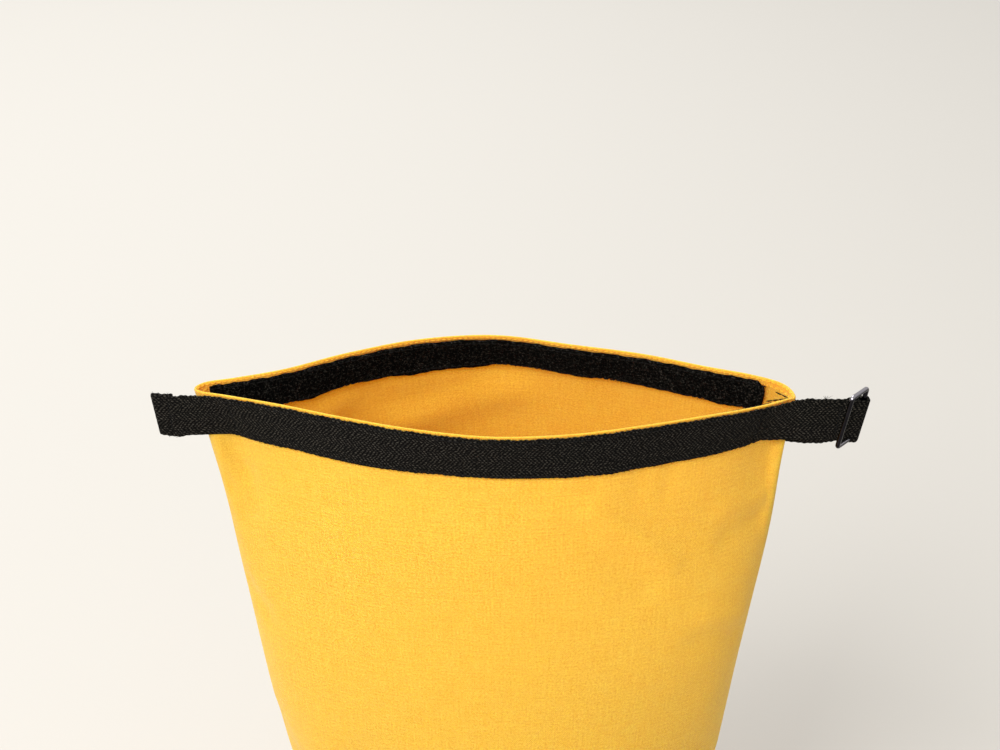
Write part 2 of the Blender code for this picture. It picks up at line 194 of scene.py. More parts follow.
def smooth_curve(places, values, place):
    """Values of the smooth curve through the given ones, whose slopes come from their neighbours."""
    places = np.asarray(places, float)
    values = np.asarray(values, float)
    slopes = np.gradient(values, axis=0)
    spans = (places[2:] - places[:-2]).reshape((-1,) + (1,) * (values.ndim - 1))
    slopes[1:-1] = (values[2:] - values[:-2]) / spans
    slopes[0] = (values[1] - values[0]) / (places[1] - places[0])
    slopes[-1] = (values[-1] - values[-2]) / (places[-1] - places[-2])
    place = np.clip(place, places[0], places[-1])
    i = np.clip(np.searchsorted(places, place, side="right") - 1, 0, len(places) - 2)
    span = places[i + 1] - places[i]
    t = (place - places[i]) / span
    if values.ndim > 1:
        span, t = span[..., None], t[..., None]
    start, end = slopes[i] * span, slopes[i + 1] * span
    rise = values[i + 1] - values[i]
    return values[i] + t * (start + t * (3 * rise - 2 * start - end + t * (start + end - 2 * rise)))


def round_curve(step, values, angle):
    """The same for values at even steps of angle all the way round."""
    wrapped = [values[-1], *values, values[0], values[1]]
    return smooth_curve([step * (k - 1) for k in range(len(wrapped))], wrapped, np.mod(angle, 360))


MOUTH_SHARES = list(REAR_MOUTH) + [-share for share in reversed(FRONT_MOUTH)][1:-1]


def station(column, drop):
    return smooth_curve([s[0] for s in STATIONS], [s[column] for s in STATIONS], drop)


def wall(angle, drop):
    """Points of the bag's outer face before its folds, close to the CAD's."""
    angle, drop = np.broadcast_arrays(np.asarray(angle, float), np.asarray(drop, float))
    turn = np.radians(angle)
    oval = smoothstep(drop / OVAL_DROP)
    share = (1 - oval) * round_curve(MOUTH_STEP, MOUTH_SHARES, angle) + oval * np.sin(turn)
    depth = np.where(share > 0, station(3, drop), station(2, drop))
    rise = np.where(share > 0, REAR_RIM_RISE, FRONT_RIM_RISE) * abs(share)
    rise = rise * np.clip(1 - drop / BAG_HEIGHT, 0, 1) ** 4
    sway = BODY_SWAY * np.sin(np.pi * drop / BAG_HEIGHT)
    return np.stack([sway + station(1, drop) * np.cos(turn), depth * share, BAG_HEIGHT - drop + rise], -1)


def outward(surface, angle, drop):
    """Unit vectors that point out of a surface of angles and drops."""
    turn, fall = 0.4, 0.0008
    along = surface(angle + turn, drop) - surface(angle - turn, drop)
    up = surface(angle, drop - fall) - surface(angle, drop + fall)
    normal = np.cross(along, up)
    return normal / np.linalg.norm(normal, axis=-1, keepdims=True)


def fold(angle, drop, start, end, width, height):
    """A soft ridge, or a valley where height is negative, along a line from start to end (angle, drop)."""
    per_degree = GIRTH / 360
    x, y = angle * per_degree, drop
    ax, ay, bx, by = start[0] * per_degree, start[1], end[0] * per_degree, end[1]
    dx, dy = bx - ax, by - ay
    length = math.hypot(dx, dy)
    along = ((x - ax) * dx + (y - ay) * dy) / length
    beside = (-(x - ax) * dy + (y - ay) * dx) / length
    taper = smoothstep((along + width) / (2 * width)) * smoothstep((length - along + width) / (2 * width))
    return height * np.exp(-((beside / width) ** 2)) * taper


# The front is drawn in (negative) beside both corners at the webbing's lower edge, and swells between them.
# Each lean is the angle of its middle, its reach in degrees and the metres it stands out from the CAD.
# The leans fade over a reach from an angle near each corner, and over a drop below the webbing.
BAND_FADE_LEFT = 190, 12
BAND_FADE_RIGHT = 360, 14
BAND_FADE_BELOW = 0.085
BAND_LEANS = (
    (205, 10, -0.0045),
    (245, 14, 0.0035),
    (290, 10, 0.0025),
    (340, 20, -0.0070),
)

# Folds of the lower body, and small puckers just above the base's seam.
LOOSE_FOLD_SEED = 11
LOOSE_FOLD_COUNT = 18
PUCKER = 0.0004
PUCKER_RISE = 0.016

# Soft ridges, and valleys where the height is negative: start and end as angle and drop, width, height.
FOLDS = (
    ((289, 0.044), (311, 0.085), 0.0055, 0.0019),
    ((283, 0.052), (306, 0.096), 0.0070, -0.0016),
    ((322, 0.058), (348, 0.061), 0.0060, 0.0015),
    ((324, 0.076), (347, 0.073), 0.0065, -0.0015),
    ((318, 0.114), (340, 0.124), 0.0060, 0.0016),
    ((316, 0.127), (338, 0.138), 0.0075, -0.0014),
    ((299, 0.022), (299, 0.047), 0.0030, -0.0007),
    ((307, 0.022), (306, 0.048), 0.0032, -0.0008),
    ((288, 0.022), (289, 0.044), 0.0032, -0.0006),
    ((191, 0.114), (207, 0.130), 0.0070, -0.0014),
    ((204, 0.052), (224, 0.056), 0.0090, -0.0008),
    ((94, 0.027), (113, 0.030), 0.0120, -0.0026),
    ((84, 0.039), (115, 0.061), 0.0125, -0.0036),
    ((122, 0.030), (139, 0.052), 0.0080, -0.0018),
    ((193, 0.050), (198, 0.062), 0.0060, -0.0012),
    ((203, 0.044), (210, 0.050), 0.0050, -0.0010),
)


def loose_folds():
    """Soft slanting folds of the lower body, spread round it by chance."""
    chance = np.random.default_rng(LOOSE_FOLD_SEED)
    folds = []
    for k in range(LOOSE_FOLD_COUNT):
        middle = 360 * (k + chance.uniform(-0.3, 0.3)) / LOOSE_FOLD_COUNT
        drop = chance.uniform(0.19, 0.37)
        reach, slope = chance.uniform(9, 20), chance.choice((-1, 1)) * chance.uniform(0.018, 0.042)
        height = chance.choice((-1, 1)) * chance.uniform(0.0010, 0.0019)
        start, end = (middle - reach, drop - slope), (middle + reach, drop + slope)
        folds.append((middle, (start, end, chance.uniform(0.008, 0.015), height)))
    return folds


LOOSE_FOLDS = loose_folds()


def relief(angle, drop):
    """How far the cloth stands out from the CAD's outer face."""
    angle = np.mod(angle, 360)
    lean = sum(depth * np.exp(-(((angle - middle) / reach) ** 2)) for middle, reach, depth in BAND_LEANS)
    (left, left_reach), (right, right_reach) = BAND_FADE_LEFT, BAND_FADE_RIGHT
    lean = lean * smoothstep((angle - left) / left_reach) * smoothstep((right - angle) / right_reach)
    low = WEBBING_DROP + WEBBING_WIDTH
    amount = np.clip(drop / low, 0, 1) * (1 - smoothstep((drop - low) / BAND_FADE_BELOW))
    total = lean * amount
    for start, end, width, height in FOLDS:
        total = total + fold(angle, drop, start, end, width, height)
    for middle, (start, end, width, height) in LOOSE_FOLDS:
        near = np.mod(angle - middle + 180, 360) - 180 + middle
        total = total + fold(near, drop, start, end, width, height)
    turn = np.radians(angle)
    seam = np.exp(-(((BAG_HEIGHT - PUCKER_RISE - drop) / PUCKER_RISE) ** 2))
    total = total + PUCKER * seam * np.sin(41 * turn + 2.5 * np.sin(5 * turn))
    free = smoothstep((drop - 0.03) / 0.08) * smoothstep((BAG_HEIGHT - 0.012 - drop) / 0.05)
    swell = np.sin(3 * turn + 9.0 * drop / BAG_HEIGHT + 0.6) * 0.0016
    swell = swell + np.sin(5 * turn - 14.0 * drop / BAG_HEIGHT + 2.1) * 0.0010
    swell = swell + np.sin(2 * turn + 21.0 * drop / BAG_HEIGHT + 4.0) * 0.0008
    return total + free * swell


def skin(angle, drop):
    """Points of the bag's outer face, folds and all."""
    points = wall(angle, drop)
    return points + outward(wall, angle, drop) * relief(np.asarray(angle, float), drop)[..., None]


def layer(angle, drop, distance):
    """Points at a distance out from the bag's outer face."""
    angle, drop, distance = np.broadcast_arrays(*(np.asarray(v, float) for v in (angle, drop, distance)))
    return skin(angle, drop) + outward(skin, angle, drop) * distance[..., None]


# ---------------------------------------------------------------- meshes


def make_mesh(name, verts, faces, material, uvs=None):
    mesh = bpy.data.meshes.new(name)
    mesh.from_pydata(np.asarray(verts).tolist(), [], faces)
    mesh.materials.append(material)
    if uvs is not None:
        thread = mesh.uv_layers.new(name="thread")
        thread.data.foreach_set("uv", np.asarray(uvs, np.float32).ravel())
    mesh.shade_smooth()
    thing = bpy.data.objects.new(name, mesh)
    bpy.context.scene.collection.objects.link(thing)
    return thing


def lengths(points, axis):
    """Distance travelled along an axis of a grid of points."""
    steps = np.linalg.norm(np.diff(points, axis=axis), axis=-1)
    start = np.zeros_like(np.take(steps, [0], axis=axis))
    return np.concatenate([start, np.cumsum(steps, axis=axis)], axis=axis)


def loft(name, rings, material, wrap=False, start=0.0):
    """Closed mesh through rings of points, each a closed section, with capped ends unless it wraps round."""
    count, size = rings.shape[:2]
    around = np.concatenate([rings, rings[:, :1]], axis=1)
    spread = lengths(around, 1)
    v = np.broadcast_to(spread.mean(axis=0), (count + 1, size + 1))
    run = np.concatenate([rings, rings[:1]], axis=0) if wrap else rings
    u = start + lengths(run.mean(axis=1), 0)
    verts = rings.reshape(-1, 3)
    i, k = np.meshgrid(np.arange(count if wrap else count - 1), np.arange(size), indexing="ij")
    i, k = i.ravel(), k.ravel()
    after, beside = (i + 1) % count, (k + 1) % size
    quads = np.stack([i * size + k, i * size + beside, after * size + beside, after * size + k], 1)
    corners = ((i, k), (i, k + 1), (i + 1, k + 1), (i + 1, k))
    uvs = np.stack([np.stack([u[a], v[0][b]], -1) for a, b in corners], 1)
    faces = quads.tolist()
    uvs = uvs.reshape(-1, 2)
    if not wrap:
        ends = [list(range(size))[::-1], [(count - 1) * size + k for k in range(size)]]
        faces += ends
        uvs = np.concatenate([uvs, np.zeros((2 * size, 2))])
    return make_mesh(name, verts, faces, material, uvs)


def slab_section(top, bottom, front, back, steps, rounds=4):
    """Closed section of a flat layer with round edges: drops from top to bottom, distances front to back."""
    radius = (front - back) / 2
    middle = (front + back) / 2
    flat = [top + radius + share * (bottom - top - 2 * radius) for share in np.linspace(0, 1, steps + 1)]
    turns = [math.pi * k / (2 * rounds) for k in range(1, 2 * rounds)]
    section = [(drop, front) for drop in flat]
    low, high = bottom - radius, top + radius
    section += [(low + radius * math.sin(turn), middle + radius * math.cos(turn)) for turn in turns]
    section += [(drop, back) for drop in reversed(flat)]
    section += [(high - radius * math.sin(turn), middle - radius * math.cos(turn)) for turn in turns]
    return np.array(section).T


def sewn_layer(name, angles, section, material, wrap=False, ripple=None):
    """A layer of cloth that follows the bag, from its section's drops and distances."""
    drops, distances = section
    a, d = np.meshgrid(angles, drops, indexing="ij")
    h = np.broadcast_to(distances, a.shape)
    if ripple is not None:
        d, h = ripple(a, d, h)
    return loft(name, layer(a, d, h), material, wrap)


def tubes(name, starts, ends, ups, radius, material, arch=0.0, sides=6, rows=5, ends_share=0.35):
    """Many short round pieces, each from a start to an end, arched towards its up direction, as one mesh."""
    starts, ends, ups = (np.asarray(v, float) for v in (starts, ends, ups))
    count = len(starts)
    radius = np.broadcast_to(np.asarray(radius, float), (count,))
    ahead = ends - starts
    length = np.linalg.norm(ahead, axis=1, keepdims=True)
    ahead = ahead / length
    side = np.cross(ups, ahead)
    side = side / np.linalg.norm(side, axis=1, keepdims=True)
    up = np.cross(ahead, side)
    share = np.linspace(0, 1, rows)
    swell = np.sqrt(np.clip(1 - np.abs(2 * share - 1) ** 3, ends_share ** 2, 1))
    lift = 1 - (2 * share - 1) ** 2
    turn = 2 * np.pi * np.arange(sides) / sides
    centre = starts[:, None] + (ends - starts)[:, None] * share[None, :, None]
    centre = centre + up[:, None] * (lift * arch)[None, :, None]
    sideways, upwards = np.cos(turn)[None, None, :, None], np.sin(turn)[None, None, :, None]
    out = side[:, None, None] * sideways + up[:, None, None] * upwards
    verts = centre[:, :, None] + out * (radius[:, None] * swell[None])[:, :, None, None]
    size = rows * sides
    r, s = np.meshgrid(np.arange(rows - 1), np.arange(sides), indexing="ij")
    r, s = r.ravel(), s.ravel()
    t = (s + 1) % sides
    quads = np.stack([r * sides + s, r * sides + t, (r + 1) * sides + t, (r + 1) * sides + s], 1)
    offsets = (np.arange(count) * size)[:, None, None]
    faces = (quads[None] + offsets).reshape(-1, 4).tolist()
    cap_low = (np.arange(sides)[::-1][None] + np.arange(count)[:, None] * size).tolist()
    cap_high = ((rows - 1) * sides + np.arange(sides)[None] + np.arange(count)[:, None] * size).tolist()
    return make_mesh(name, verts.reshape(-1, 3), faces + cap_low + cap_high, material)


def stitches(name, lines, ups, material, length=0.0030, gap=0.0006, radius=THREAD / 2):
    """Rows of stitches along lines of points, as one mesh."""
    starts, ends, tilts = [], [], []
    for line, up in zip(lines, ups):
        run = lengths(line, 0)
        pitch = run[-1] / max(1, int((run[-1] + gap) / (length + gap)))
        begin = np.arange(gap / 2, run[-1] - pitch / 2, pitch)
        wanted = ((line, begin, starts), (line, begin + pitch - gap, ends), (up, begin, tilts))
        for values, where, kept in wanted:
            kept.append(np.stack([np.interp(where, run, values[:, axis]) for axis in range(3)], 1))
    starts, ends, tilts = (np.concatenate(kept) for kept in (starts, ends, tilts))
    return tubes(name, starts, ends, tilts, radius, material, arch=radius * 0.5)


# ---------------------------------------------------------------- materials


class Surface:
    """A material and its node tree, with short ways to add nodes."""

    def __init__(self, name, colour, roughness, metallic=0.0, sheen=0.0, sheen_roughness=0.5):
        self.material = bpy.data.materials.new(name)
        self.material.use_nodes = True
        self.tree = self.material.node_tree
        self.shader = self.tree.nodes["Principled BSDF"]
        self.set("Base Color", (*colour, 1))
        self.set("Roughness", roughness)
        self.set("Metallic", metallic)
        self.set("Sheen Weight", sheen)
        self.set("Sheen Roughness", sheen_roughness)

    def set(self, socket, value):
        self.shader.inputs[socket].default_value = value

    def add(self, kind):
        return self.tree.nodes.new("ShaderNode" + kind)

    def link(self, value, socket):
        if isinstance(value, bpy.types.NodeSocket):
            self.tree.links.new(value, socket)
        else:
            socket.default_value = value

    def math(self, operation, *values):
        node = self.add("Math")
        node.operation = operation
        for value, socket in zip(values, node.inputs):
            self.link(value, socket)
        return node.outputs[0]

    def plus(self, one, other):
        return self.math("ADD", one, other)

    def times(self, one, other):
        return self.math("MULTIPLY", one, other)

    def thread(self, across=1.0, down=1.0):
        """The thread map's point, in metres of cloth, scaled along its two ways."""
        uv = self.add("UVMap")
        uv.uv_map = "thread"
        node = self.add("Mapping")
        node.inputs["Scale"].default_value = (across, down, 1)
        self.link(uv.outputs[0], node.inputs[0])
        return node.outputs[0]

    def place(self, scale=1.0):
        """The object's own coordinates, scaled."""
        where = self.add("TexCoord")
        node = self.add("Mapping")
        node.inputs["Scale"].default_value = (scale, scale, scale)
        self.link(where.outputs["Object"], node.inputs[0])
        return node.outputs[0]

    def facing(self):
        """The way the surface faces, in the object's own axes."""
        return self.add("TexCoord").outputs["Normal"]

    def split(self, vector):
        node = self.add("SeparateXYZ")
        self.link(vector, node.inputs[0])
        return node.outputs[0], node.outputs[1], node.outputs[2]

    def noise(self, vector, scale=1.0, detail=2.0, roughness=0.5):
        node = self.add("TexNoise")
        node.inputs["Scale"].default_value = scale
        node.inputs["Detail"].default_value = detail
        node.inputs["Roughness"].default_value = roughness
        self.link(vector, node.inputs["Vector"])
        return node.outputs["Fac"]

    def span(self, value, low, high, to_low=0.0, to_high=1.0):
        """Value taken from one range to another, and kept within it."""
        node = self.add("MapRange")
        self.link(value, node.inputs["Value"])
        node.inputs["From Min"].default_value = low
        node.inputs["From Max"].default_value = high
        node.inputs["To Min"].default_value = to_low
        node.inputs["To Max"].default_value = to_high
        return node.outputs[0]

    def blend(self, share, one, other):
        node = self.add("Mix")
        node.data_type = "RGBA"
        self.link(share, node.inputs["Factor"])
        for name, value in (("A", one), ("B", other)):
            socket = next(s for s in node.inputs if s.name == name and s.type == "RGBA")
            self.link((*value, 1) if isinstance(value, tuple) else value, socket)
        return [out for out in node.outputs if out.type == "RGBA"][0]

    def colour(self, value):
        self.link(value, self.shader.inputs["Base Color"])

    def rough(self, value):
        self.link(value, self.shader.inputs["Roughness"])

    def bump(self, height, distance, strength=1.0):
        node = self.add("Bump")
        node.inputs["Distance"].default_value = distance
        node.inputs["Strength"].default_value = strength
        self.link(height, node.inputs["Height"])
        self.link(node.outputs[0], self.shader.inputs["Normal"])


# Pitch of the cloth's threads, then length and height of the webbing's slanted grains, in metres.
CLOTH_THREAD_PITCH = 0.0011
WEFT_GRAIN = 0.0021
WEFT_ROW = 0.00118
ROWS_PER_SLANT = 4
GRAIN_SLANT = 0.36


def cloth_material():
    """Matt coated canvas: a fine plain weave under grainy coating, with uneven threads and soft shading."""
    cloth = Surface("mustard_canvas", CLOTH_COLOUR, 0.72, sheen=0.12, sheen_roughness=0.45)
    cloth.set("Specular IOR Level", 0.22)
    cloth.set("Subsurface Weight", 0.8)
    cloth.set("Subsurface Radius", (1.0, 0.75, 0.25))
    cloth.set("Subsurface Scale", 0.0032)
    turns = 2 * math.pi / CLOTH_THREAD_PITCH
    fine = cloth.thread(turns, turns)
    across, down, _ = cloth.split(fine)
    weave = cloth.times(cloth.math("SINE", across), cloth.math("SINE", down))
    grain = cloth.noise(cloth.thread(1, 1), scale=1050, detail=3, roughness=0.6)
    slub_one = cloth.noise(cloth.thread(60, 1100), detail=1)
    slub_two = cloth.noise(cloth.thread(1100, 60), detail=1)
    slubs = cloth.plus(slub_one, slub_two)
    patches = cloth.noise(cloth.place(9), detail=3)
    light = cloth.span(grain, 0.36, 0.64)
    thick = cloth.times(cloth.span(slubs, 0.8, 1.2), 0.25)
    light = cloth.plus(cloth.times(light, 0.75), thick)
    tone = cloth.blend(light, CLOTH_DARK, CLOTH_LIGHT)
    cloth.colour(cloth.blend(cloth.span(patches, 0.35, 0.65, 0.70, 1.0), CLOTH_COLOUR, tone))
    cloth.rough(cloth.span(grain, 0.3, 0.7, 0.66, 0.80))
    height = cloth.plus(cloth.times(weave, 0.22), grain)
    height = cloth.plus(height, cloth.times(slubs, 0.18))
    cloth.bump(height, 0.0004, 0.9)
    return cloth.material


def webbing_material():
    """Black cotton webbing: rows of slanted weft grains, each row half a grain along from the last. The
    grains and fine specks are painted lighter, partly the weave's pattern and partly a painted highlight on
    its raised yarn.
    """
    web = Surface("black_webbing", WEBBING_COLOUR, 0.9, sheen=0.01, sheen_roughness=0.4)
    web.set("Specular IOR Level", 0.05)
    across, down, _ = web.split(web.thread(1 / WEFT_GRAIN, 1 / WEFT_ROW))
    row = web.math("FLOOR", down)
    odd = web.math("MODULO", row, 2)
    y = web.math("SUBTRACT", web.math("FRACT", down), 0.5)
    wander = web.times(web.noise(web.thread(160, 260), detail=1), 1.3)
    x = web.plus(web.plus(across, wander), web.times(odd, 0.5))
    x = web.math("SUBTRACT", web.math("FRACT", x), 0.5)
    band = web.math("MODULO", web.math("FLOOR", web.math("DIVIDE", down, ROWS_PER_SLANT)), 2)
    zigzag = web.math("SUBTRACT", web.times(band, 2), 1)
    x = web.plus(x, web.times(web.times(y, zigzag), GRAIN_SLANT))

    def squared(value, half_size):
        return web.math("POWER", web.math("ABSOLUTE", web.math("DIVIDE", value, half_size)), 2)

    reach = web.plus(squared(x, 0.36), squared(y, 0.46))
    grain = web.span(reach, 1.0, 0.35)
    fibres = web.noise(web.thread(700, 3200), detail=3, roughness=0.65)
    specks = web.noise(web.thread(480, 900), detail=2)
    # Grains, fibres and specks lighten the black: partly the weave's pattern, partly a painted highlight on
    # the raised yarn.
    shade = web.times(grain, web.span(fibres, 0.38, 0.62, 0.25, 1.0))
    shade = web.times(shade, web.span(specks, 0.38, 0.62, 0.10, 1.0))
    web.colour(web.blend(shade, WEBBING_COLOUR, WEBBING_GRAIN_HIGHLIGHT))
    web.rough(web.span(fibres, 0.3, 0.7, 0.78, 0.95))
    height = web.plus(grain, web.times(fibres, 0.35))
    web.bump(height, 0.00035, 0.9)
    return web.material


def pile_material():
    """Black loop pile: deep matt clumps, painted lighter where they stand for a little light caught on the
    yarn, a painted highlight.
    """
    pile = Surface("black_pile", PILE_COLOUR, 0.95, sheen=0.01, sheen_roughness=0.5)
    pile.set("Specular IOR Level", 0.02)
    clumps = pile.noise(pile.place(), scale=760, detail=3, roughness=0.7)
    fuzz = pile.noise(pile.place(), scale=2400, detail=2)
    # Clumps and fuzz are painted lighter: a painted highlight for light caught on the yarn.
    share = pile.times(pile.span(clumps, 0.50, 0.66), pile.span(fuzz, 0.42, 0.62))
    pile.colour(pile.blend(share, PILE_COLOUR, PILE_PAINTED_HIGHLIGHT))
    pile.bump(pile.plus(clumps, pile.times(fuzz, 0.4)), 0.0006, 1.0)
    return pile.material


def plain_thread_material(name, colour):
    """Spun sewing thread with a fine twist."""
    thread = Surface(name, colour, 0.7, sheen=0.02)
    thread.set("Specular IOR Level", 0.1)
    twist = thread.noise(thread.place(), scale=5200, detail=2)
    light = tuple(min(1.0, c * 1.6 + 0.004) for c in colour)
    thread.colour(thread.blend(thread.span(twist, 0.35, 0.7), colour, light))
    thread.bump(twist, 0.0001, 0.6)
    return thread.material


def tape_material():
    """Heat-welded seam tape: smooth, a little glossy and lighter than the cloth."""
    tape = Surface("welded_tape", TAPE_COLOUR, 0.42)
    bubbles = tape.noise(tape.place(), scale=260, detail=3)
    tape.colour(tape.blend(tape.span(bubbles, 0.3, 0.7), TAPE_COLOUR, CLOTH_LIGHT))
    tape.rough(tape.span(bubbles, 0.3, 0.7, 0.32, 0.52))
    tape.bump(bubbles, 0.0002, 0.5)
    return tape.material


def ring_material():
    """Gunmetal plating on drawn wire: dark and glossy, with fine scratches and brighter rubbed spots, and its
    upward faces painted lighter as a painted reflection of the bright sky.
    """
    ring = Surface("gunmetal", RING_COLOUR, 0.14, metallic=1.0)
    wear = ring.noise(ring.place(), scale=170, detail=4, roughness=0.6)
    scratches = ring.noise(ring.place(), scale=2600, detail=2)
    worn = ring.blend(ring.span(wear, 0.45, 0.75), RING_COLOUR, tuple(c * 1.6 for c in RING_COLOUR))
    # Faces that point up are painted lighter: a painted reflection of the bright sky above.
    upright = ring.split(ring.facing())[2]
    ring.colour(ring.blend(ring.span(upright, 0.15, 0.75), worn, RING_PAINTED_SKY_REFLECTION))
    ring.rough(ring.span(scratches, 0.3, 0.75, 0.08, 0.20))
    ring.bump(scratches, 0.00004, 0.4)
    return ring.material


cloth = cloth_material()
webbing = webbing_material()
pile = pile_material()
black_thread = plain_thread_material("black_thread", THREAD_COLOUR)
yellow_thread = plain_thread_material("yellow_thread", SEAM_THREAD_COLOUR)
webbing_fibre = plain_thread_material("webbing_fibre", WEBBING_COLOUR)
tape = tape_material()
gunmetal = ring_material()


# ---------------------------------------------------------------- camera, floor and light


def build_camera():
    target = Vector((0.0032, 0, BAG_HEIGHT + 0.0105))
    azimuth, elevation, distance = math.radians(1.5), math.radians(30), 1.15
    back = Vector((
        math.sin(azimuth) * math.cos(elevation),
        -math.cos(azimuth) * math.cos(elevation),
        math.sin(elevation),
    ))
    data = bpy.data.cameras.new("camera")
    data.sensor_width = 36
    data.lens = 78.3
    data.clip_start = 0.05
    camera = bpy.data.objects.new("camera", data)
    camera.location = target + back * distance
    camera.rotation_mode = "QUATERNION"
    camera.rotation_quaternion = (-back).to_track_quat("-Z", "Y")
    bpy.context.scene.collection.objects.link(camera)
    bpy.context.scene.camera = camera


def area_light(name, place, target, size, power, colour):
    data = bpy.data.lights.new(name, "AREA")
    data.shape = "RECTANGLE"
    data.size, data.size_y = size
    data.energy = power
    data.color = colour
    light = bpy.data.objects.new(name, data)
    light.location = place
    light.rotation_mode = "QUATERNION"
    light.rotation_quaternion = (Vector(target) - Vector(place)).to_track_quat("-Z", "Y")
    bpy.context.scene.collection.objects.link(light)


def build_surroundings():
    size = 6.0
    floor_surface = Surface("pale_floor", FLOOR_COLOUR, 0.85)
    floor = make_mesh(
        "floor",
        [(-size, -size, 0), (size, -size, 0), (size, size, 0), (-size, size, 0)],
        [(0, 1, 2, 3)],
        floor_surface.material,
    )
    floor.location.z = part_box("base_disc")[0].z - 0.0002
    world = bpy.data.worlds.new("studio")
    bpy.context.scene.world = world
    world.use_nodes = True
    background = world.node_tree.nodes["Background"]
    background.inputs["Color"].default_value = (1.0, 0.985, 0.955, 1)
    background.inputs["Strength"].default_value = 0.67
    middle = (0, 0, BAG_HEIGHT * 0.8)
    area_light("key", (-0.86, -1.38, 1.9), middle, (1.2, 1.0), 50, (1.0, 0.98, 0.945))
    area_light("top", (-0.9, 1.7, 2.4), (-0.3, 1.2, 0), (1.6, 1.2), 50, (1.0, 0.985, 0.96))
    bpy.context.scene.view_settings.view_transform = "Standard"


# ---------------------------------------------------------------- the bag


def settle(piece, body, slot, *nodes):
    """Says which body a piece rides on and the CAD nodes that it stands for; its material slot is not used.
    """
    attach(piece, body)
    if nodes:
        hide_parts(*nodes)


def build_cloth():
    """The tube of cloth, whose top edge turns in over the rim and runs down inside as a hem."""
    radius = HEM_INSIDE / 2
    section = [(drop, 0.0) for drop in np.linspace(BOTTOM_DROP, radius, 150)]
    for k in range(1, 8):
        turn = math.pi * k / 8
        section.append((radius - radius * math.sin(turn), -radius + radius * math.cos(turn)))
    section += [(drop, -HEM_INSIDE) for drop in np.linspace(radius, HEM_HEIGHT, 14)]
    section.append((HEM_HEIGHT + 0.0004, -CLOTH - 0.0003))
    section += [(drop, -CLOTH) for drop in np.linspace(HEM_HEIGHT + 0.0012, BOTTOM_DROP, 140)]
    body = sewn_layer("bag_cloth", np.arange(0, 360, 1.25), np.array(section).T, cloth, wrap=True)
    settle(body, "bag", "bag_cloth", "front_panel", "rear_panel", "front_hem", "rear_hem")


def build_base():
    """Round base, a little domed between the bag and the floor."""
    rings, around = 24, 144
    radius = np.linspace(0, BASE_RADIUS, rings + 1)[1:]
    turn = 2 * np.pi * np.arange(around) / around
    dome = 0.0016 * (1 - smoothstep(radius / (BASE_RADIUS * 0.9)))
    verts = [(0, 0, dome[0]), (0, 0, dome[0] + BASE_TOP)]
    for lift in (0, BASE_TOP):
        for r, d in zip(radius, dome):
            verts += [(r * math.cos(t), r * math.sin(t), d + lift) for t in turn]
    faces = []
    top = 2 + rings * around
    for k in range(around):
        n = (k + 1) % around
        faces.append((0, 2 + n, 2 + k))
        faces.append((1, top + k, top + n))
        for r in range(rings - 1):
            a, b = r * around, (r + 1) * around
            faces.append((2 + a + k, 2 + a + n, 2 + b + n, 2 + b + k))
            faces.append((top + a + k, top + b + k, top + b + n, top + a + n))
        edge = (rings - 1) * around
        faces.append((2 + edge + k, 2 + edge + n, top + edge + n, top + edge + k))
    uvs = []
    for face in faces:
        uvs += [(verts[v][0], verts[v][1]) for v in face]
    base = make_mesh("bag_base", verts, faces, cloth, uvs)
    settle(base, "bag", "bag_cloth", "base_disc")


def build_tapes():
    face = -CLOTH - 0.00005
    top, bottom = HEM_HEIGHT + 0.003, BOTTOM_DROP - TAPE_WIDTH
    spots = (
        ("right_tape", "right_seam_tape", np.arange(-7.5, 7.6, 1.25), top, bottom, False),
        ("left_tape", "left_seam_tape", np.arange(172.5, 187.6, 1.25), top, bottom, False),
        ("base_tape", "base_seam_tape", np.arange(0, 360, 2.5), bottom, BOTTOM_DROP, True),
    )
    for name, node, angles, low, high, wrap in spots:
        section = slab_section(low, high, face, face - TAPE_THICKNESS, 6 if wrap else 100, rounds=1)
        piece = sewn_layer(name, angles, section, tape, wrap=wrap)
        settle(piece, "bag", "seam_tape", node)


def round_bend(centre, radius, turns):
    """Points (along, across) of a fold of webbing whose middle is at centre, at turns in degrees."""
    turns = [math.radians(turn) for turn in turns]
    return [(centre[0] + radius * math.cos(turn), centre[1] + radius * math.sin(turn)) for turn in turns]


